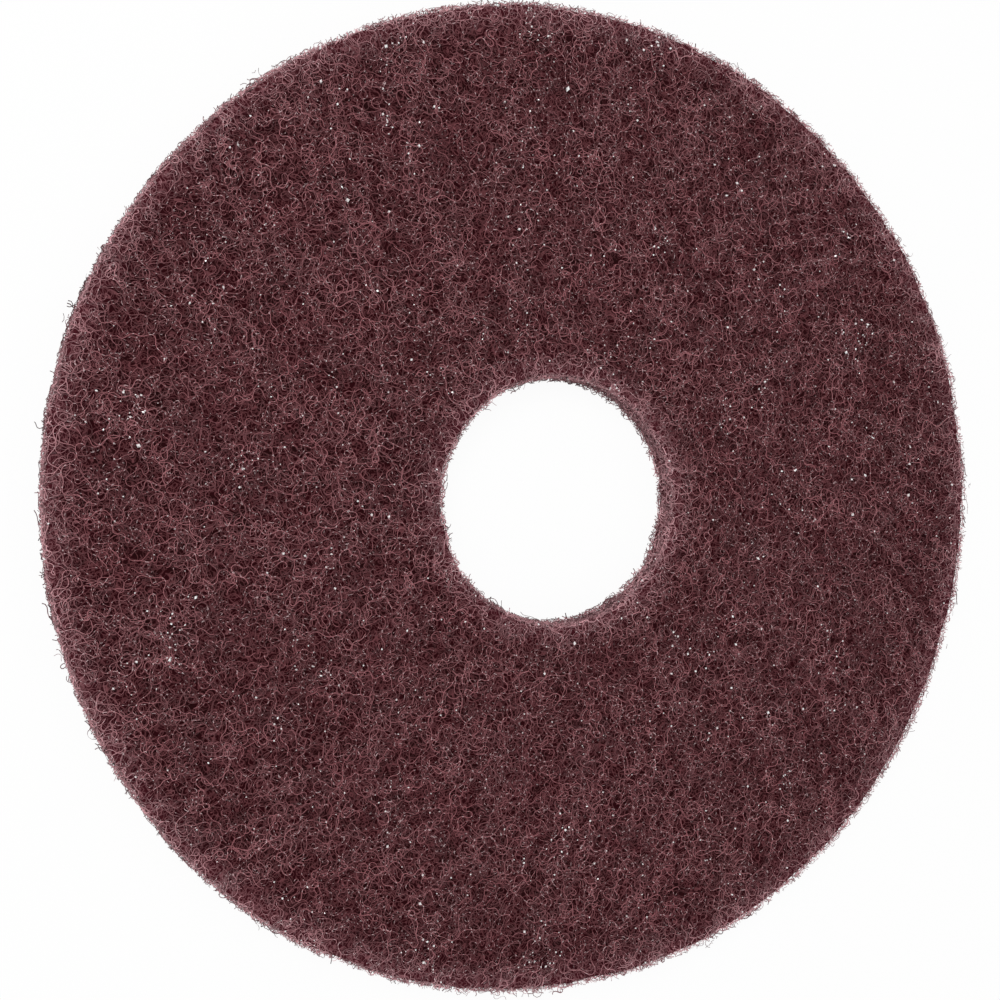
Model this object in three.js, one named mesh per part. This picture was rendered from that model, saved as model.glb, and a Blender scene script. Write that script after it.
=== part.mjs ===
// A floor polishing pad: a thick round disc of springy, non-woven fibre with a round hole
// punched through its middle, which centres it under the machine's drive plate.
// It is one piece. Millimetres, +Z up. The origin is the middle of the face that it lies on.

import * as THREE from "three";
import { mergeVertices } from "three/addons/utils/BufferGeometryUtils.js";

// Driving dimensions
const PAD_DIAMETER = 330.2; // a 13 inch pad
const HOLE_DIAMETER = 82.6; // its 3 1/4 inch centre hole
const PAD_THICKNESS = 12.5;
const EDGE_ROUNDING = 1.6; // the springy web relaxes where the die cut it
const RIM_WANDER = 0.5; // how far the cut rim strays from a true circle
const HOLE_WANDER = 0.35; // the same, for the hole
const HOLLOW_DEPTH = 0.7; // the web is thinner between its denser clumps
const CLUMP_PITCH = 34; // from one dense clump to the next

// How finely the curves are divided
const SECTORS = 120; // round the disc
const FACE_RINGS = 13; // from the hole to the rim, on each face
const ROUNDING_STEPS = 2; // round each softened edge

const padRadius = PAD_DIAMETER / 2;
const holeRadius = HOLE_DIAMETER / 2;
const bandWidth = padRadius - holeRadius;
const rounding = Math.min(EDGE_ROUNDING, PAD_THICKNESS / 3, bandWidth / 3);

// Adds the points of one softened edge, a quarter turn about its centre.
function addSoftEdge(section, centreX, centreY, startTurn) {
  for (let step = 0; step <= ROUNDING_STEPS; step += 1) {
    const turn = startTurn + ((Math.PI / 2) * step) / ROUNDING_STEPS;
    const x = centreX + rounding * Math.cos(turn);
    const y = centreY + rounding * Math.sin(turn);
    section.push(new THREE.Vector2(x, y));
  }
}

// Adds the points between two softened edges, evenly spaced along one face.
function addFace(section, fromX, toX, y) {
  for (let ring = 1; ring < FACE_RINGS; ring += 1) {
    const x = THREE.MathUtils.lerp(fromX, toX, ring / FACE_RINGS);
    section.push(new THREE.Vector2(x, y));
  }
}

// The section through one side of the ring: up the rim, in over the top face, down the
// hole's wall and out again along the bottom face, back to where it began.
function makeSection() {
  const section = [];
  const rimX = padRadius - rounding;
  const holeX = holeRadius + rounding;
  const lowY = rounding;
  const highY = PAD_THICKNESS - rounding;
  addSoftEdge(section, rimX, lowY, -Math.PI / 2);
  addSoftEdge(section, rimX, highY, 0);
  addFace(section, rimX, holeX, PAD_THICKNESS);
  addSoftEdge(section, holeX, highY, Math.PI / 2);
  addSoftEdge(section, holeX, lowY, Math.PI);
  addFace(section, holeX, rimX, 0);
  section.push(section[0].clone());
  return section;
}

// How far the rim strays outwards at this angle, from -1 to 1: a die cuts a springy web
// into a circle that is only nearly true.
function rimStray(angle) {
  const broad = Math.sin(5 * angle + 0.4) + 0.8 * Math.sin(11 * angle + 2.1);
  const fine = 0.9 * Math.sin(23 * angle + 1.2) + 0.7 * Math.sin(37 * angle + 4.4);
  return (broad + fine) / 3.4;
}

// The same for the hole's wall.
function holeStray(angle) {
  const broad = Math.sin(3 * angle + 1.9) + 0.8 * Math.sin(7 * angle + 0.3);
  const fine = 0.7 * Math.sin(17 * angle + 3.3);
  return (broad + fine) / 2.5;
}

// How deep the web lies below its clumps here, from 0 on a clump to 1 in the middle of a
// hollow: three waves that cross, cut off flat at the level that the clumps reach.
function hollowAt(x, y, shift) {
  const k = (2 * Math.PI) / CLUMP_PITCH;
  const along = Math.sin(k * (0.96 * x + 0.28 * y) + shift);
  const across = Math.sin(k * 1.13 * (0.34 * x - 0.94 * y) - 2 * shift);
  const slanted = Math.sin(k * 0.87 * (0.71 * x + 0.7 * y) + 3 * shift);
  return Math.max(0, (along + across + slanted) / 3);
}

// Moves one point of the true ring to where the real, uneven web has it.
function relax(point) {
  const radius = Math.hypot(point.x, point.y);
  const angle = Math.atan2(point.y, point.x);
  const outwards = (radius - holeRadius) / bandWidth;
  const rimMove = RIM_WANDER * rimStray(angle) * outwards ** 2;
  const holeMove = HOLE_WANDER * holeStray(angle) * (1 - outwards) ** 2;
  const grown = (radius + rimMove + holeMove) / radius;
  const height = (2 * point.z) / PAD_THICKNESS - 1; // -1 at the bottom face, 1 at the top
  const side = Math.sign(height);
  const nearFace = Math.abs(height) ** 4;
  const sink = HOLLOW_DEPTH * nearFace * hollowAt(point.x, point.y, 1 + side);
  point.set(point.x * grown, point.y * grown, point.z - side * sink);
}

function makePadGeometry() {
  const lathe = new THREE.LatheGeometry(makeSection(), SECTORS);
  lathe.rotateX(Math.PI / 2);
  lathe.deleteAttribute("normal");
  lathe.deleteAttribute("uv");
  const ring = mergeVertices(lathe);
  const places = ring.getAttribute("position");
  const point = new THREE.Vector3();
  for (let i = 0; i < places.count; i += 1) {
    point.fromBufferAttribute(places, i);
    relax(point);
    places.setXYZ(i, point.x, point.y, point.z);
  }
  ring.computeVertexNormals();
  return ring;
}

const fibre = new THREE.MeshStandardMaterial({ color: 0x513133, roughness: 0.95, metalness: 0 });

const fibrePad = new THREE.Mesh(makePadGeometry(), fibre);
fibrePad.name = "fibre_pad";

const group = new THREE.Group();
group.add(fibrePad);

export default group;
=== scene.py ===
# %% [markdown]
# # A floor polishing pad made of curly fibres
#
# The real pad is one thing: a web of crimped plastic fibres, laid at random, stuck together with a
# binder that holds hard mineral grains, and cut into a ring by a round die. From a step away it is a
# dark red-brown disc. From close by it is thousands of curls with dark gaps between them.
#
# The solid from the CAD model gives the true size and place. Here it gets its looks: a dark matted
# core, then real curls of fibre on both faces and in both cut walls, then the grains that sparkle.

import bpy
import numpy as np
from mathutils import Matrix, Vector
from mathutils.bvhtree import BVHTree


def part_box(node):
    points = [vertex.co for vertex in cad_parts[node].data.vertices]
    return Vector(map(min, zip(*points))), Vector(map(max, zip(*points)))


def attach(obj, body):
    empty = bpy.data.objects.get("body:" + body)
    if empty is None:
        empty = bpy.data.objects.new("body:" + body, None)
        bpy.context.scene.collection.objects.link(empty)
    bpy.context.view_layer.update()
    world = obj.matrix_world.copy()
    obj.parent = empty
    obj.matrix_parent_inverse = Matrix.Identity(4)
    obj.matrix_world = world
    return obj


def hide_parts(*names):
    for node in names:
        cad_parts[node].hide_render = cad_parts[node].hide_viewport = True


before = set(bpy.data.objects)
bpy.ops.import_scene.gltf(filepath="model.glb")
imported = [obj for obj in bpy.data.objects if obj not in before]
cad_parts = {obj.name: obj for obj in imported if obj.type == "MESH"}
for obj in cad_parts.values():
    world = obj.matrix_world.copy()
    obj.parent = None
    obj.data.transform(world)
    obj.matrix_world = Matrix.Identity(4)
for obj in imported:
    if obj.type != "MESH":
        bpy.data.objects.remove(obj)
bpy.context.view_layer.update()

MM = 0.001
pad_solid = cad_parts["fibre_pad"]
low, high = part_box("fibre_pad")
PAD_RADIUS = (high.x - low.x) / 2
PAD_TOP = high.z
print("pad", round(2 * PAD_RADIUS / MM, 1), "mm across and", round(PAD_TOP / MM, 2), "mm thick")

# %% [markdown]
# ## Asking the solid where its skin is
#
# The curls have to lie on the pad's real faces, which are a little uneven. A ray shot straight down
# at a point finds the top face there, one shot up finds the bottom face, and one shot outwards from
# the middle finds the hole's wall. One shot inwards from outside finds the rim. If the solid is ever
# changed, the fibres follow it, because no size is written here a second time.

# %% Rays that find the faces and the two cut walls
solid_tree = BVHTree.FromObject(pad_solid, bpy.context.evaluated_depsgraph_get())
MID_HEIGHT = PAD_TOP / 2
ANGLES = 720
FULL_TURN = 2 * np.pi


def wall_radii():
    """The hole's and the rim's radius at evenly spaced angles, both at half the pad's height."""
    hole, rim = np.empty(ANGLES), np.empty(ANGLES)
    for i, angle in enumerate(np.linspace(0, FULL_TURN, ANGLES, endpoint=False)):
        outwards = Vector((np.cos(angle), np.sin(angle), 0))
        middle = Vector((0, 0, MID_HEIGHT))
        outside = middle + 2 * PAD_RADIUS * outwards
        hole[i] = solid_tree.ray_cast(middle, outwards)[3]
        rim[i] = 2 * PAD_RADIUS - solid_tree.ray_cast(outside, -outwards)[3]
    return hole, rim


hole_radii, rim_radii = wall_radii()
HOLE_RADIUS = hole_radii.mean()


def radius_at(radii, angle):
    """The radius of one of the two walls at any angle, read between its samples."""
    place = (angle / FULL_TURN % 1) * ANGLES
    below = np.floor(place).astype(int)
    part = place - below
    return radii[below % ANGLES] * (1 - part) + radii[(below + 1) % ANGLES] * part


def face_heights(x, y, top):
    """How high the top face lies at each point, or the bottom face, in metres."""
    start, way = (2 * PAD_TOP, -1) if top else (-PAD_TOP, 1)
    past_the_edge = PAD_TOP if top else 0.0
    heights = np.full(len(x), past_the_edge)
    for i, (px, py) in enumerate(zip(x, y)):
        hit = solid_tree.ray_cast(Vector((px, py, start)), Vector((0, 0, way)))[0]
        if hit is not None:
            heights[i] = hit.z
    return heights


print("hole", round(2 * HOLE_RADIUS / MM, 1), "mm across")

# %% [markdown]
# ## The camera
#
# The photographer looked down from a little to one side, so the disc is drawn as a slightly narrow
# ellipse, the near side of the hole's wall is hidden and the far side shows. The place was worked
# out from the shapes of the two ellipses.

# %% Camera at the photograph's angle
CAMERA_PLACE = Vector((-0.16873, 0.00935, 0.41933))
CAMERA_AIM = Vector((-0.01747, 0.00021, 0.0))
CAMERA_LENS_MM = 47.24
SENSOR_MM = 36

camera_data = bpy.data.cameras.new("camera")
camera_data.lens = CAMERA_LENS_MM
camera_data.sensor_width = SENSOR_MM
camera = bpy.data.objects.new("camera", camera_data)
bpy.context.scene.collection.objects.link(camera)
forward = (CAMERA_AIM - CAMERA_PLACE).normalized()
right = forward.cross(Vector((0, 1, 0))).normalized()
upward = right.cross(forward)
facing_back = Matrix((right, upward, -forward)).transposed()
camera.matrix_world = Matrix.LocRotScale(CAMERA_PLACE, facing_back, None)
bpy.context.scene.camera = camera
print("camera", [round(c, 3) for c in CAMERA_PLACE])

# %% [markdown]
# ## Small helpers for materials
#
# A material is a little network of nodes. These helpers keep the recipes below short: one adds a
# node with its settings, two do sums with numbers and with places, one turns a number into a smooth
# step from 0 to 1, and one blends two colours.

# %% Node helpers
def new_material(name):
    material = bpy.data.materials.new(name)
    material.use_nodes = True
    tree = material.node_tree
    shader = tree.nodes["Principled BSDF"]
    return material, tree, shader


def add_node(tree, kind, inputs=None, **settings):
    """A new node: inputs by socket name or number hold a value, or a socket to link from."""
    node = tree.nodes.new(kind)
    for name, value in settings.items():
        setattr(node, name, value)
    for name, value in (inputs or {}).items():
        if isinstance(value, bpy.types.NodeSocket):
            tree.links.new(value, node.inputs[name])
        else:
            node.inputs[name].default_value = value
    return node


def maths(tree, operation, first, second=0.0, third=0.0):
    inputs = {0: first, 1: second, 2: third}
    return add_node(tree, "ShaderNodeMath", inputs, operation=operation).outputs[0]


def vector_maths(tree, operation, first, second):
    inputs = {0: first, 1: second}
    return add_node(tree, "ShaderNodeVectorMath", inputs, operation=operation).outputs[0]


def smooth_step(tree, value, start, end):
    """0 up to start, 1 from end on, and a smooth rise between them."""
    inputs = {0: value, 1: start, 2: end}
    return add_node(tree, "ShaderNodeMapRange", inputs, interpolation_type="SMOOTHSTEP").outputs[0]


def blend_colours(tree, share, first, second, mode="MIX"):
    node = add_node(tree, "ShaderNodeMix", data_type="RGBA", blend_type=mode)
    for name, value in (("Factor_Float", share), ("A_Color", first), ("B_Color", second)):
        socket = next(s for s in node.inputs if s.identifier == name)
        if isinstance(value, bpy.types.NodeSocket):
            tree.links.new(value, socket)
        else:
            socket.default_value = value
    return next(s for s in node.outputs if s.identifier == "Result_Color")


def dim(tree, colour, tone):
    """The colour times a plain number."""
    grey = add_node(tree, "ShaderNodeCombineColor", {0: tone, 1: tone, 2: tone}).outputs[0]
    return blend_colours(tree, 1.0, colour, grey, "MULTIPLY")


def from_screen(red, green, blue):
    """A colour as a screen shows it, 0 to 255, as the light that it stands for."""
    shown = np.array([red, green, blue]) / 255
    light = np.where(shown <= 0.04045, shown / 12.92, ((shown + 0.055) / 1.055) ** 2.4)
    return (*light.tolist(), 1.0)


def shifted(tree, place, shift):
    """The place moved aside, so that the same noise gives other lumps."""
    return vector_maths(tree, "ADD", place, (shift, 2 * shift, 3 * shift))


def noise(tree, place, size, detail=0.0, roughness=0.5, shift=0.0, output="Fac"):
    """Soft random lumps about size metres across."""
    inputs = {"Scale": 1 / size, "Detail": detail, "Roughness": roughness}
    inputs["Vector"] = shifted(tree, place, shift)
    return add_node(tree, "ShaderNodeTexNoise", inputs).outputs[output]


# %% [markdown]
# ## How deep a point lies
#
# Deep in the web the fibre is painted darker and redder, as shade, since light reaches it only after
# many bounces; at a cut edge it is painted paler, as light that comes through from the side. Both
# follow from where a point is in the pad, so one helper measures that: the distance in from the
# nearest face or wall, and the distance in from the nearest wall alone.

# %% Depth and edge distance as nodes
WALL_LIGHT_REACH = 12.5 * MM


def place_in_pad(tree):
    """The point's place, its depth under the nearest skin, and its distance from a cut wall."""
    place = add_node(tree, "ShaderNodeTexCoord").outputs["Object"]
    split = add_node(tree, "ShaderNodeSeparateXYZ", {0: place}).outputs
    flat = add_node(tree, "ShaderNodeCombineXYZ", {0: split[0], 1: split[1]}).outputs[0]
    radius = add_node(tree, "ShaderNodeVectorMath", {0: flat}, operation="LENGTH").outputs["Value"]
    to_rim = maths(tree, "SUBTRACT", PAD_RADIUS, radius)
    to_hole = maths(tree, "SUBTRACT", radius, HOLE_RADIUS)
    to_wall = maths(tree, "MINIMUM", to_rim, to_hole)
    to_top = maths(tree, "SUBTRACT", PAD_TOP, split[2])
    to_face = maths(tree, "MINIMUM", to_top, split[2])
    depth = maths(tree, "MINIMUM", to_face, to_wall)
    return place, depth, to_wall


def painted_wall_light(tree, to_wall):
    """Share of painted light at a cut wall: 1 at the wall, falling fast at first and then slowly to
    0 further in.
    """
    inputs = {0: to_wall, 1: 0.0, 2: WALL_LIGHT_REACH, 3: 1.0, 4: 0.0}
    near = add_node(tree, "ShaderNodeMapRange", inputs).outputs[0]
    return maths(tree, "MULTIPLY", near, near)


# %% [markdown]
# ## The matted core
#
# Between the top curls one sees into the web: more curls, darker and blurred together. Making
# those as real fibres too would take millions of faces for something that hardly shows. So the
# middle of the pad is one lumpy ring a little smaller than the pad, and its material draws the
# deeper curls with their shade painted in, and paints light at the cut walls.

# %% Shape of the core
CORE_INSET = 1.3 * MM
CORNER_INSET = 0.9 * MM
WALL_INSET = 1.0 * MM
CORE_ROUNDING = 0.8 * MM
CORNER_STEPS = 2
CORE_SECTORS = 260
CORE_FACE_RINGS = 26
CORE_WALL_RINGS = 5
FACE_LUMP = 0.12 * MM
WALL_LUMP = 0.7 * MM
LUMP_SIZE = 8.0 * MM
LUMP_SEED = 11
WAVE_COUNT = 14
WAVE_LENGTHS = (0.6, 1.9)


def waves(x, y, z, size, seed):
    """Uneven swellings, from -1 to 1: the sum of waves that run in many directions."""
    draw = np.random.default_rng(seed)
    total = np.zeros(np.shape(x))
    for _ in range(WAVE_COUNT):
        way = draw.normal(size=3)
        way *= FULL_TURN / (size * draw.uniform(*WAVE_LENGTHS)) / np.linalg.norm(way)
        total += np.sin(way[0] * x + way[1] * y + way[2] * z + draw.uniform(0, FULL_TURN))
    return np.clip(2 * total / WAVE_COUNT, -1, 1)


def core_section():
    """The section's points: share of the way to the rim, shift, height, and the way out."""
    low_centre = CORNER_INSET + CORE_ROUNDING
    high_centre = PAD_TOP - low_centre
    section = []

    def add_corner(across, centre, first_turn):
        for turn in np.linspace(first_turn, first_turn + np.pi / 2, CORNER_STEPS + 1):
            out, up = np.cos(turn), np.sin(turn)
            shift = CORE_ROUNDING * (1 - 2 * across) + CORE_ROUNDING * out
            section.append((across, shift, centre + CORE_ROUNDING * up, out, up))

    def add_face(steps, height, up):
        for across in steps[1:-1]:
            section.append((across, CORE_ROUNDING * (1 - 2 * across), height, 0.0, up))

    def add_wall(across, heights, out):
        for height in heights[1:-1]:
            section.append((across, 0.0, height, out, 0.0))

    climb = np.linspace(low_centre, high_centre, CORE_WALL_RINGS)
    add_wall(1.0, climb, 1.0)
    add_corner(1.0, high_centre, 0.0)
    add_face(np.linspace(1, 0, CORE_FACE_RINGS), PAD_TOP - CORE_INSET, 1.0)
    add_corner(0.0, high_centre, np.pi / 2)
    add_wall(0.0, climb[::-1], -1.0)
    add_corner(0.0, low_centre, np.pi)
    add_face(np.linspace(0, 1, CORE_FACE_RINGS), CORE_INSET, -1.0)
    add_corner(1.0, low_centre, 1.5 * np.pi)
    return section


def core_points():
    """Rings of points round the core, one ring for each point of its section."""
    angle = np.linspace(0, FULL_TURN, CORE_SECTORS, endpoint=False)
    rim = radius_at(rim_radii, angle) - WALL_INSET
    hole = radius_at(hole_radii, angle) + WALL_INSET
    rings = []
    for across, shift, height, out, up in core_section():
        radius = hole + (rim - hole) * across + shift
        x, y = radius * np.cos(angle), radius * np.sin(angle)
        z = np.full(CORE_SECTORS, height)
        if out == 0.0:
            z = face_heights(x, y, up > 0) - up * CORE_INSET
        lump = waves(x, y, z, LUMP_SIZE, LUMP_SEED)
        grown = 1 + out * WALL_LUMP * lump / radius
        rings.append(np.stack([x * grown, y * grown, z + up * FACE_LUMP * lump], axis=1))
    return np.array(rings)


def make_core():
    rings = core_points()
    count = len(rings)
    faces = []
    for r in range(count):
        here, there = r * CORE_SECTORS, (r + 1) % count * CORE_SECTORS
        for s in range(CORE_SECTORS):
            following = (s + 1) % CORE_SECTORS
            faces.append((here + s, here + following, there + following, there + s))
    mesh = bpy.data.meshes.new("web_core")
    mesh.from_pydata(rings.reshape(-1, 3).tolist(), [], faces)
    mesh.shade_smooth()
    piece = bpy.data.objects.new("web_core", mesh)
    bpy.context.scene.collection.objects.link(piece)
    return piece


core = make_core()
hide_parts("fibre_pad")
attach(core, "root")
print("core", 2 * len(core.data.polygons), "triangles")

# %% [markdown]
# ## Drawing the deeper curls
#
# Two drawings lie over each other, each made twice. One is like the height lines of a map: where a
# soft noise passes evenly spaced levels, thin lines run side by side and close on themselves, as
# bundles of crimped fibre do. The other draws a thin ring round each of many scattered points, bent
# out of round by a noise, and these are the single curls. Where none of them passes, one sees into
# a gap painted as shade: nearly black in some places and crimson in others. The lower layers are
# painted fainter and the curls in pits dimmer, as shade, and near a cut wall gaps and curls are
# painted paler, as light that comes through. The lines also raise the surface.

# %% Material of the core
# The gap and deep curl colours are painted shade of the web's depths; the wall colours are painted
# light that comes through a cut wall.
SHADED_GAP = from_screen(40, 4, 9)
DARKEST_SHADED_GAP = from_screen(32, 6, 8)
WALL_LIT_GAP = from_screen(74, 26, 34)
SHADED_DEEP_CURL = from_screen(106, 61, 65)
WALL_LIT_CURL = from_screen(150, 102, 108)
FULL_PART = 0.3
BEND_SIZE = 4 * MM
BEND_AMOUNT = 3 * MM
PIT_SIZE = 3.5 * MM
PIT_SHADE = 0.2
CURL_HEIGHT = 0.3 * MM


def thin_line(tree, off, width):
    """1 on a line and 0 beside it; off is the distance from the line's middle."""
    return maths(tree, "SUBTRACT", 1.0, smooth_step(tree, off, FULL_PART * width, width))


def map_lines(tree, place, size, levels, width, shift):
    height = noise(tree, place, size, detail=1.0, roughness=0.4, shift=shift)
    off = maths(tree, "PINGPONG", maths(tree, "MULTIPLY", height, levels), 0.5)
    return thin_line(tree, off, width)


def bent_rings(tree, place, size, reach, width, shift):
    push = noise(tree, place, BEND_SIZE, shift=shift, output="Color")
    push = vector_maths(tree, "SUBTRACT", push, (0.5, 0.5, 0.5))
    push = vector_maths(tree, "MULTIPLY", push, (BEND_AMOUNT, BEND_AMOUNT, BEND_AMOUNT))
    bent = shifted(tree, vector_maths(tree, "ADD", place, push), shift)
    cells = add_node(tree, "ShaderNodeTexVoronoi", {"Vector": bent, "Scale": 1 / size})
    off = maths(tree, "SUBTRACT", cells.outputs["Distance"], reach)
    return thin_line(tree, maths(tree, "ABSOLUTE", off), width)


def drawn_curls(tree, place):
    """1 on a curl and 0 in a gap; the lower layers are fainter, as painted shade of depth."""
    curls = map_lines(tree, place, size=4.4 * MM, levels=8, width=0.11, shift=0.31)
    lower = [
        (0.8, bent_rings(tree, place, size=3.1 * MM, reach=0.42, width=0.055, shift=2.9)),
        (0.65, map_lines(tree, place, size=3.8 * MM, levels=7, width=0.11, shift=1.73)),
        (0.5, bent_rings(tree, place, size=2.5 * MM, reach=0.45, width=0.06, shift=5.1)),
    ]
    for strength, layer in lower:
        curls = maths(tree, "MAXIMUM", curls, maths(tree, "MULTIPLY", layer, strength))
    return curls


def core_material():
    material, tree, shader = new_material("matted_web")
    place, _, to_wall = place_in_pad(tree)
    # Painted shade in pits: the gaps there are nearly black and the curls dimmer.
    pit = noise(tree, place, PIT_SIZE, detail=1.0, shift=0.9)
    pit = smooth_step(tree, pit, start=0.32, end=0.6)
    shown = maths(tree, "MULTIPLY_ADD", pit, PIT_SHADE, 1 - PIT_SHADE)
    curls = maths(tree, "MULTIPLY", drawn_curls(tree, place), shown)
    # Painted light near a cut wall: gaps and curls are drawn paler there.
    wall_light = painted_wall_light(tree, to_wall)
    gap = blend_colours(tree, pit, DARKEST_SHADED_GAP, SHADED_GAP)
    gap = blend_colours(tree, wall_light, gap, WALL_LIT_GAP)
    line = blend_colours(tree, wall_light, SHADED_DEEP_CURL, WALL_LIT_CURL)
    tree.links.new(blend_colours(tree, curls, gap, line), shader.inputs["Base Color"])
    relief = {"Height": curls, "Distance": CURL_HEIGHT, "Strength": 0.6}
    bump = add_node(tree, "ShaderNodeBump", relief)
    tree.links.new(bump.outputs[0], shader.inputs["Normal"])
    shader.inputs["Roughness"].default_value = 0.8
    shader.inputs["Specular IOR Level"].default_value = 0.05
    return material


core.data.materials.append(core_material())

# %% [markdown]
# ## One fibre as a tube or a ribbon
#
# A hair-like strand could be a curve object with a bevel, but thousands of curves are slow to turn
# into meshes and hard to count. Built by hand it is plain: at each point of the strand a small
# triangle stands across its path, and neighbouring triangles are joined by three quads. Smooth
# shading makes that look round. Most strands show as nothing more than a thin line, so they get by
# with a flat ribbon, which costs a third as much and leaves room for three times as many.
#
# Each strand also gets a small square of its own on the picture that a bake would paint, so that its
# colour doesn't run into its neighbour's.

# %% Building strands
TUBE = 3
RIBBON = 2
CELL_MARGIN = 0.12


def cell_corners(count):
    """The lower corners and the size of as many equal squares as there are things to map."""
    columns = int(np.ceil(np.sqrt(count)))
    number = np.arange(count)
    corners = np.stack([number % columns, number // columns], axis=1) / columns
    return corners, 1 / columns


class Web:
    """Collects many strands and turns them into one mesh."""

    def __init__(self, sides):
        self.sides = sides
        self.walls = sides if sides > RIBBON else 1
        self.paths = []
        self.points = []
        self.quads = []
        self.caps = []
        self.maps = []
        self.count = 0

    def add(self, path, facing, radius, roll):
        """One strand along path; facing is a direction that the path never runs along."""
        along = np.gradient(path, axis=0)
        side = np.cross(along, facing)
        side /= np.linalg.norm(side, axis=1, keepdims=True)
        out = np.cross(side, along)
        out /= np.linalg.norm(out, axis=1, keepdims=True)
        turns = roll + FULL_TURN * np.arange(self.sides) / self.sides
        ring = side[:, None] * np.cos(turns)[:, None] + out[:, None] * np.sin(turns)[:, None]
        self.points.append((path[:, None] + radius * ring).reshape(-1, 3))
        steps = len(path) - 1
        corner = np.arange(steps)[:, None] * self.sides + self.count
        wall = np.arange(self.walls)
        following = (wall + 1) % self.sides
        quad = [corner + wall, corner + following, corner + self.sides + following]
        self.quads.append(np.stack([*quad, corner + self.sides + wall], axis=-1).reshape(-1, 4))
        self.maps.append((steps, len(self.paths)))
        if self.sides == TUBE:
            last = self.count + steps * TUBE
            self.caps.append((self.count + 2, self.count + 1, self.count))
            self.caps.append((last, last + 1, last + 2))
        self.paths.append(path)
        self.count += len(path) * self.sides

    def triangles(self):
        return sum(2 * self.walls * steps for steps, _ in self.maps) + len(self.caps)

    def bake_map(self):
        """A place on the bake picture for each corner of each face."""
        corners, size = cell_corners(len(self.paths))
        room = 1 - 2 * CELL_MARGIN
        places = []
        for steps, strand in self.maps:
            step = np.arange(steps)[:, None] + np.zeros(self.walls)
            wall = np.arange(self.walls) + np.zeros((steps, 1))
            u = np.stack([step, step, step + 1, step + 1], axis=-1) / steps
            v = np.stack([wall, wall + 1, wall + 1, wall], axis=-1) / self.walls
            inside = np.stack([u, v], axis=-1).reshape(-1, 2) * room + CELL_MARGIN
            places.append(corners[strand] + size * inside)
        for strand in np.repeat(np.arange(len(self.caps) // 2), 2):
            places.append(corners[strand] + size * np.full((3, 2), 0.5))
        return np.concatenate(places)

    def build(self, name, material):
        mesh = bpy.data.meshes.new(name)
        faces = np.concatenate(self.quads).tolist() + self.caps
        mesh.from_pydata(np.concatenate(self.points).tolist(), [], faces)
        mesh.shade_smooth()
        mesh.materials.append(material)
        mesh.uv_layers.new(name="OFBake").uv.foreach_set("vector", self.bake_map().ravel())
        piece = bpy.data.objects.new(name, mesh)
        bpy.context.scene.collection.objects.link(piece)
        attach(piece, "root")
        print(name, len(self.paths), "strands,", self.triangles(), "triangles")


# %% [markdown]
# ## How a crimped fibre wanders
#
# Crimped fibre keeps its length but changes its heading all the time. So a strand here is a walk:
# its heading swings slowly and far, which closes it into curls, and shorter waves on top make it
# irregular. Each strand has a bend of its own. Tight curls get short steps and loose ones long
# steps, so that all of them look equally round for their cost.

# %% Random walks in a plane
LOOSEST_BEND = 0.55 / MM
TIGHTEST_BEND = 1.5 / MM
STEP_TURN = {TUBE: 0.55, RIBBON: 0.7}
SHORTEST_STEP = 0.48 * MM
LONGEST_STEP = 1.9 * MM
STRAND_STEPS = 24
SLOW_SWING = (14, 30)
SLOW_SHARE = 0.35
QUICK_SWING = (5, 11)
QUICK_SHARE = 1.0
SWING_SPREAD = (0.5, 1.3)
RIPPLE_LENGTH = (6 * MM, 14 * MM)
EVEN_STRIDES = (0.7548776662, 0.5698402910)
rng = np.random.default_rng(2026)


def wander(count, sides):
    """count walks that pass the origin half way: places along and across, and a slow ripple."""
    one = (count, 1)
    bend = rng.uniform(LOOSEST_BEND, TIGHTEST_BEND, one)
    step = np.clip(STEP_TURN[sides] / bend, SHORTEST_STEP, LONGEST_STEP)
    travelled = np.arange(STRAND_STEPS + 1) * step
    heading = FULL_TURN * rng.random(one)
    slow = rng.uniform(*SLOW_SWING, one)
    quick = rng.uniform(*QUICK_SWING, one)
    for length, share in ((slow, SLOW_SHARE), (quick, QUICK_SHARE)):
        swing = share * rng.uniform(*SWING_SPREAD, one) * length / FULL_TURN
        turned = bend * travelled / length + rng.random(one)
        heading = heading + swing * np.sin(FULL_TURN * turned)
    x = np.cumsum(np.cos(heading) * step, axis=1)
    y = np.cumsum(np.sin(heading) * step, axis=1)
    rippled = travelled / rng.uniform(*RIPPLE_LENGTH, one) + rng.random(one)
    half = STRAND_STEPS // 2
    return x - x[:, half : half + 1], y - y[:, half : half + 1], np.sin(FULL_TURN * rippled)


def spread_evenly(count, start):
    """Pairs of numbers from 0 to 1 that fill a square without clumps or holes."""
    number = np.arange(start, start + count)[:, None]
    return tuple((number * stride) % 1 for stride in EVEN_STRIDES)


def runs_inside(inside, shortest=3):
    """Each unbroken stretch of each row that is inside, as row, first, last."""
    for row, flags in enumerate(inside):
        begin = None
        for i, flag in enumerate([*flags, False]):
            if flag and begin is None:
                begin = i
            elif not flag and begin is not None:
                if i - begin >= shortest:
                    yield row, begin, i
                begin = None


# %% [markdown]
# ## The colour of the fibre
#
# The fibre is dyed a dusty red-brown and coated with binder. Four things vary it: strands differ
# from each other; the lower ones are painted darker and redder, as shade; those near a cut wall are
# painted paler, as light that comes through to them; and the few that stick out past the cut are
# painted dark, as shade against the white. Small pale specks on the strands are painted glints.

# %% Material of the strands
SHALLOW_FIBRE = from_screen(137, 90, 94)
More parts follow.
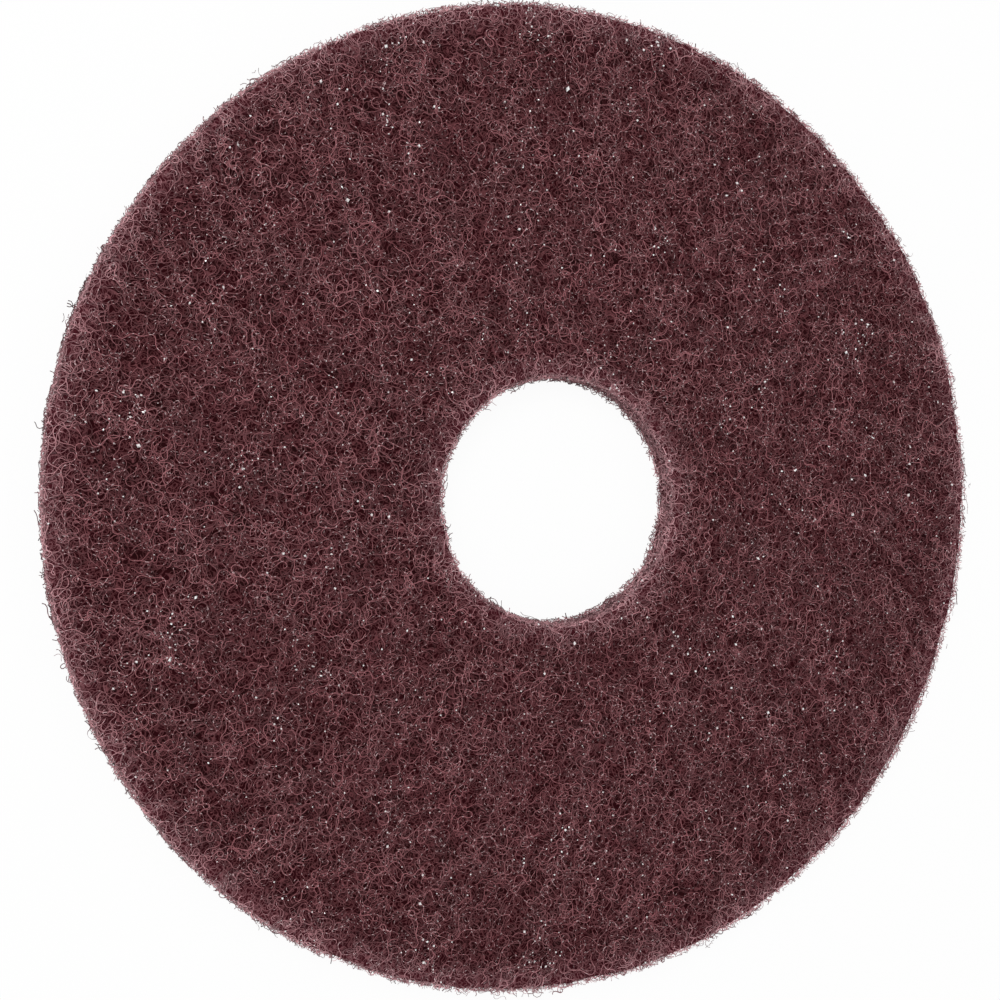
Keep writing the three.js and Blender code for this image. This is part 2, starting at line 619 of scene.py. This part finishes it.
# Below, the deep fibre and stray hair colours are painted shade, the pale wall colour is painted
# light, and the speck colour is a painted highlight; crimson is real dye.
SHADED_DEEP_FIBRE = from_screen(62, 17, 24)
CRIMSON = from_screen(120, 34, 46)
WALL_LIT_FIBRE = from_screen(178, 134, 139)
GLINT_COLOUR = from_screen(236, 210, 212)
SHADED_HAIR = from_screen(66, 42, 44)
DEPTH_SHADE = (-0.2 * MM, 2.4 * MM)
PATCH_SIZE = 14 * MM
PATCH_SHARE = 0.1
HAIR_SHADE_STARTS = (-0.7 * MM, 0.2 * MM)
HAIR_SHADE_STRENGTH = 0.8
DARKEST_STRAND = 0.4
STRAND_SPREAD = 1.3
GLINT_SIZE = 0.8 * MM
GLINT_SHARE = 0.55


def fibre_material():
    material, tree, shader = new_material("curly_fibre")
    place, depth, to_wall = place_in_pad(tree)
    # Painted shade: strands deeper under the skin are drawn darker and redder.
    sunk = smooth_step(tree, depth, *DEPTH_SHADE)
    colour = blend_colours(tree, sunk, SHALLOW_FIBRE, SHADED_DEEP_FIBRE)
    patch = noise(tree, place, PATCH_SIZE, detail=1.5, shift=0.9)
    patch = smooth_step(tree, patch, start=0.42, end=0.66)
    colour = blend_colours(tree, maths(tree, "MULTIPLY", patch, PATCH_SHARE), colour, CRIMSON)
    # Painted light: strands near a cut wall are drawn paler, as if lit through the wall.
    colour = blend_colours(tree, painted_wall_light(tree, to_wall), colour, WALL_LIT_FIBRE)
    # Painted shade: strands that stick out past the cut are drawn dark, as if seen against the
    # light.
    hair = maths(tree, "SUBTRACT", 1.0, smooth_step(tree, to_wall, *HAIR_SHADE_STARTS))
    colour = blend_colours(tree, maths(tree, "MULTIPLY", hair, HAIR_SHADE_STRENGTH), colour, SHADED_HAIR)
    own = add_node(tree, "ShaderNodeNewGeometry").outputs["Random Per Island"]
    tone = maths(tree, "MULTIPLY_ADD", own, STRAND_SPREAD, DARKEST_STRAND)
    colour = dim(tree, colour, tone)
    # Painted highlight: small pale glints scattered along the strands.
    glint = noise(tree, place, GLINT_SIZE, shift=0.37)
    glint = smooth_step(tree, glint, start=0.68, end=0.73)
    colour = blend_colours(tree, maths(tree, "MULTIPLY", glint, GLINT_SHARE), colour, GLINT_COLOUR)
    tree.links.new(colour, shader.inputs["Base Color"])
    shader.inputs["Roughness"].default_value = 0.6
    shader.inputs["Specular IOR Level"].default_value = 0.1
    return material


fibre = fibre_material()

# %% [markdown]
# ## Laying fibres on the faces
#
# The maker's web is laid in thin sheets, so on the two faces the strands lie nearly flat and pass
# over and under each other. Their middles are spread evenly over the ring and a little past it, and
# each is then cut off where the die cuts. A springy strand is pushed aside by the die before it
# breaks, so every strand ends a little inside or outside the true circle, and a few stick out.

# %% Strands on a face
FIBRE_RADIUS = 0.08 * MM
WALL_FIBRE_RADIUS = 0.14 * MM
PAST_EDGE = 10 * MM
STRAY_MIDDLE = 0.5 * MM
STRAY_SPREAD = 0.3 * MM
HAIR_SHARE = 0.05
HAIR_LENGTH = 2.2 * MM
FACE_RIPPLE = 0.2 * MM
DEEPEST = {TUBE: 0.5 * MM, RIBBON: 1.1 * MM}
THICKNESS_SPREAD = (0.8, 1.2)
ROLL_SPREAD = (-0.5, 0.5)
BATCH = 400


def strays(count):
    """How far past the cut each strand still reaches."""
    reach = rng.normal(STRAY_MIDDLE, STRAY_SPREAD, (count, 1))
    hair = rng.random((count, 1)) < HAIR_SHARE
    return reach + hair * rng.uniform(0, HAIR_LENGTH, (count, 1))


def between_walls(x, y, reach):
    radius, angle = np.hypot(x, y), np.arctan2(y, x)
    in_rim = radius < radius_at(rim_radii, angle) + reach
    return in_rim & (radius > radius_at(hole_radii, angle) - reach)


def lay_on_face(start, sides, top):
    """Paths on the top or the bottom face; round strands lie higher than flat ones."""
    x, y, ripple = wander(BATCH, sides)
    across, around = spread_evenly(BATCH, start)
    inner, outer = HOLE_RADIUS - PAST_EDGE, PAD_RADIUS + PAST_EDGE
    radius = np.sqrt(inner**2 + across * (outer**2 - inner**2))
    x += radius * np.cos(FULL_TURN * around)
    y += radius * np.sin(FULL_TURN * around)
    depth = rng.uniform(0.0, DEEPEST[sides], (BATCH, 1)) + FACE_RIPPLE * ripple
    depth = np.maximum(depth, FIBRE_RADIUS)
    for row, first, last in runs_inside(between_walls(x, y, strays(BATCH))):
        px, py = x[row, first:last], y[row, first:last]
        down = depth[row, first:last]
        z = face_heights(px, py, top) + (-down if top else down)
        yield np.stack([px, py, z], axis=1), np.tile((0.0, 0.0, 1.0), (len(px), 1))


def fill(name, sides, budget, radius, lay, *where):
    """One mesh of strands, as many as the budget of triangles holds."""
    web, start = Web(sides), 0
    while web.triangles() < budget:
        for path, facing in lay(start, sides, *where):
            thickness = radius * rng.uniform(*THICKNESS_SPREAD)
            web.add(path, facing, thickness, rng.uniform(*ROLL_SPREAD))
            if web.triangles() >= budget:
                break
        start += BATCH
    web.build(name, fibre)
    return web


# %% Fill the faces
TOP, BOTTOM = True, False
TOP_TRIANGLES = {TUBE: 90_000, RIBBON: 122_000}
BOTTOM_TRIANGLES = {TUBE: 20_000, RIBBON: 48_000}


def fill_face(name, sides, budgets, top):
    return fill(name, sides, budgets[sides], FIBRE_RADIUS, lay_on_face, top)


top_webs = [fill_face("top_curls", TUBE, TOP_TRIANGLES, TOP)]
for number in (1, 2, 3, 4):
    top_webs.append(fill_face(f"top_deep_curls_{number}", RIBBON, TOP_TRIANGLES, TOP))
fill_face("bottom_curls", TUBE, BOTTOM_TRIANGLES, BOTTOM)
fill_face("bottom_deep_curls", RIBBON, BOTTOM_TRIANGLES, BOTTOM)

# %% [markdown]
# ## Fibres in the two cut walls
#
# At the rim and in the hole one looks at the cut edge of the web. There the strands run in every
# direction: round the disc, in and out, and up and down. So each walk gets a plane of its own, which
# holds the direction round the wall and is tilted at random about it. What leaves the loose outer
# shell of the wall is cut off. The shell thins out towards the outside, so light comes through it.

# %% Strands in a wall
SHELL = 1.7 * MM
WALL_RIPPLE = 0.3 * MM


def lay_in_wall(start, sides, radii, inwards):
    """Paths in the shell of one wall; inwards is -1 at the rim and 1 at the hole."""
    x, y, ripple = wander(BATCH, sides)
    up, around = spread_evenly(BATCH, start)
    angle = FULL_TURN * around
    outwards = np.stack([np.cos(angle), np.sin(angle), 0 * angle], axis=-1)
    tangent = np.stack([-np.sin(angle), np.cos(angle), 0 * angle], axis=-1)
    tilt = rng.uniform(-np.pi / 2, np.pi / 2, (BATCH, 1, 1))
    second = np.cos(tilt) * outwards + np.sin(tilt) * np.array([0.0, 0.0, 1.0])
    normal = np.cross(tangent, second)
    sunk = inwards * rng.uniform(0, SHELL, (BATCH, 1))
    middle = (radius_at(radii, angle) + sunk)[..., None] * outwards
    middle[..., 2] = PAD_TOP * up
    path = middle + x[..., None] * tangent + y[..., None] * second
    path += WALL_RIPPLE * ripple[..., None] * normal
    radius = np.hypot(path[..., 0], path[..., 1])
    turned = np.arctan2(path[..., 1], path[..., 0])
    sunk_here = inwards * (radius - radius_at(radii, turned))
    inside = (sunk_here > -strays(BATCH)) & (sunk_here < SHELL)
    inside &= (path[..., 2] > FIBRE_RADIUS) & (path[..., 2] < PAD_TOP - FIBRE_RADIUS)
    for row, first, last in runs_inside(inside):
        yield path[row, first:last], np.tile(normal[row, 0], (last - first, 1))


# %% Fill the walls
RIM_TRIANGLES = {TUBE: 90_000, RIBBON: 130_000}
HOLE_TRIANGLES = {TUBE: 28_000, RIBBON: 38_000}


def fill_wall(name, sides, budgets, radii, inwards):
    return fill(name, sides, budgets[sides], WALL_FIBRE_RADIUS, lay_in_wall, radii, inwards)


rim_curls = fill_wall("rim_curls", TUBE, RIM_TRIANGLES, rim_radii, -1)
fill_wall("rim_deep_curls", RIBBON, RIM_TRIANGLES, rim_radii, -1)
hole_curls = fill_wall("hole_curls", TUBE, HOLE_TRIANGLES, hole_radii, 1)
fill_wall("hole_deep_curls", RIBBON, HOLE_TRIANGLES, hole_radii, 1)

# %% [markdown]
# ## Grains that sparkle
#
# The binder holds crushed mineral. Most grains are too small to see, but some catch the light, in
# loose clusters where the binder was thick. Each is a small eight-sided crystal, stretched and
# turned at random, that sits on a strand. A cluster is wherever a slow wave across the pad is high.
# The pale grains' near-white colour is partly a painted highlight, on top of their real gloss.

# %% Make the grains
CLUSTER_SIZE = 24 * MM
CLUSTERING = 2.5
CLUSTER_SEED = 23
GRAIN_DEPTH = 0.7 * MM
GRAIN_SPREAD = 0.3
GRAIN_STRETCH = (0.7, 1.3)
CELL_TRIANGLE = np.array([(0.2, 0.2), (0.8, 0.2), (0.5, 0.8)])
CRYSTAL = np.array([(1, 0, 0), (-1, 0, 0), (0, 1, 0), (0, -1, 0), (0, 0, 1), (0, 0, -1)], float)
CRYSTAL_FACES = np.array(
    [(0, 2, 4), (2, 1, 4), (1, 3, 4), (3, 0, 4), (2, 0, 5), (1, 2, 5), (3, 1, 5), (0, 3, 5)]
)
outer_webs = (*top_webs, rim_curls, hole_curls)
seats = np.concatenate([path for web in outer_webs for path in web.paths])
from_axis = np.hypot(seats[:, 0], seats[:, 1])
near_skin = seats[:, 2] > PAD_TOP - GRAIN_DEPTH
near_skin |= (from_axis > PAD_RADIUS - GRAIN_DEPTH) | (from_axis < HOLE_RADIUS + GRAIN_DEPTH)
seats = seats[near_skin]
binder = np.exp(CLUSTERING * waves(*seats.T, CLUSTER_SIZE, CLUSTER_SEED))


def make_grains(name, count, radius, material):
    """Small crystals on the strands, more of them where the binder was thick."""
    places = seats[rng.choice(len(seats), count, replace=False, p=binder / binder.sum())]
    size = radius * rng.lognormal(0, GRAIN_SPREAD, (count, 1, 1))
    stretch = rng.uniform(*GRAIN_STRETCH, (count, 1, 3))
    turns, _ = np.linalg.qr(rng.normal(size=(count, 3, 3)))
    points = (CRYSTAL * stretch * size) @ turns + places[:, None]
    points[..., 2] = np.maximum(points[..., 2], 0.0)
    faces = CRYSTAL_FACES + len(CRYSTAL) * np.arange(count)[:, None, None]
    mesh = bpy.data.meshes.new(name)
    mesh.from_pydata(points.reshape(-1, 3).tolist(), [], faces.reshape(-1, 3).tolist())
    mesh.materials.append(material)
    corners, width = cell_corners(count)
    cells = corners[:, None, None] + width * CELL_TRIANGLE
    cells = np.repeat(cells, len(CRYSTAL_FACES), axis=1)
    mesh.uv_layers.new(name="OFBake").uv.foreach_set("vector", cells.ravel())
    piece = bpy.data.objects.new(name, mesh)
    bpy.context.scene.collection.objects.link(piece)
    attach(piece, "root")
    print(name, count, "grains,", len(CRYSTAL_FACES) * count, "triangles")


def grain_material(name, darkest, palest, roughness):
    material, tree, shader = new_material(name)
    own = add_node(tree, "ShaderNodeNewGeometry").outputs["Random Per Island"]
    tree.links.new(blend_colours(tree, own, darkest, palest), shader.inputs["Base Color"])
    shader.inputs["Roughness"].default_value = roughness
    shader.inputs["IOR"].default_value = 2.4
    return material


dusty = grain_material("dusty_grain", from_screen(50, 30, 32), from_screen(170, 140, 142), 0.4)
# The pale grains' near-white colour is partly a painted highlight, added to their real gloss.
pale_glint = grain_material("pale_glint_grain", from_screen(225, 212, 212), from_screen(255, 255, 255), 0.15)
make_grains("dusty_grains", 1500, 0.15 * MM, dusty)
make_grains("pale_glint_grains", 1200, 0.30 * MM, pale_glint)

# %% [markdown]
# ## Floor and light
#
# The photograph was taken on white, under light that comes from all around. So the world itself is
# the main light, and one large soft lamp from the upper left gives the strands a little shape. The
# floor is a plain white sheet. To the camera it is mostly its own white, so it stays white under
# any light, and the rest of it is an ordinary surface that shows a faint shadow under the pad.

# %% White floor
FLOOR_SIZE = 12.0
FLOOR_DROP = 0.1 * MM
FLOOR_COLOUR = (0.9, 0.9, 0.9, 1)
OWN_WHITE = 0.94


def seen_directly(tree):
    """1 for what the camera sees, also in a mirror or through glass, 0 for light that bounces."""
    seen = add_node(tree, "ShaderNodeLightPath").outputs
    shown = maths(tree, "MAXIMUM", seen["Is Camera Ray"], seen["Is Glossy Ray"])
    return maths(tree, "MAXIMUM", shown, seen["Is Transmission Ray"])


def floor_material():
    material, tree, shader = new_material("white_floor")
    shader.inputs["Base Color"].default_value = FLOOR_COLOUR
    shader.inputs["Roughness"].default_value = 1.0
    shader.inputs["Specular IOR Level"].default_value = 0.0
    white = add_node(tree, "ShaderNodeEmission", {"Strength": 1.0}).outputs[0]
    share = maths(tree, "MULTIPLY", seen_directly(tree), OWN_WHITE)
    mixed = add_node(tree, "ShaderNodeMixShader", {0: share, 1: shader.outputs[0], 2: white})
    tree.links.new(mixed.outputs[0], tree.nodes["Material Output"].inputs["Surface"])
    return material


signs = ((-1, -1), (1, -1), (1, 1), (-1, 1))
floor_corners = [(x * FLOOR_SIZE / 2, y * FLOOR_SIZE / 2, -FLOOR_DROP) for x, y in signs]
floor_mesh = bpy.data.meshes.new("floor")
floor_mesh.from_pydata(floor_corners, [], [(0, 1, 2, 3)])
floor_mesh.materials.append(floor_material())
floor = bpy.data.objects.new("floor", floor_mesh)
bpy.context.scene.collection.objects.link(floor)

# %% Light from all around and one softbox
WORLD_LIGHT = 0.65
SOFTBOX_PLACE = Vector((-0.7, 0.6, 1.3))
SOFTBOX_SIZE = 0.8
SOFTBOX_WATTS = 11.0


def make_world():
    world = bpy.data.worlds.new("studio")
    bpy.context.scene.world = world
    world.use_nodes = True
    tree = world.node_tree
    strength = maths(tree, "MULTIPLY_ADD", seen_directly(tree), 1 - WORLD_LIGHT, WORLD_LIGHT)
    background = tree.nodes["Background"]
    background.inputs["Color"].default_value = (1, 1, 1, 1)
    tree.links.new(strength, background.inputs["Strength"])


def add_softbox():
    data = bpy.data.lights.new("softbox", "AREA")
    data.size = SOFTBOX_SIZE
    data.energy = SOFTBOX_WATTS
    lamp = bpy.data.objects.new("softbox", data)
    bpy.context.scene.collection.objects.link(lamp)
    lamp.location = SOFTBOX_PLACE
    lamp.rotation_euler = (-SOFTBOX_PLACE).to_track_quat("-Z", "Y").to_euler()


make_world()
add_softbox()

# %% Finish with a plain colour view
bpy.context.scene.view_settings.view_transform = "Standard"
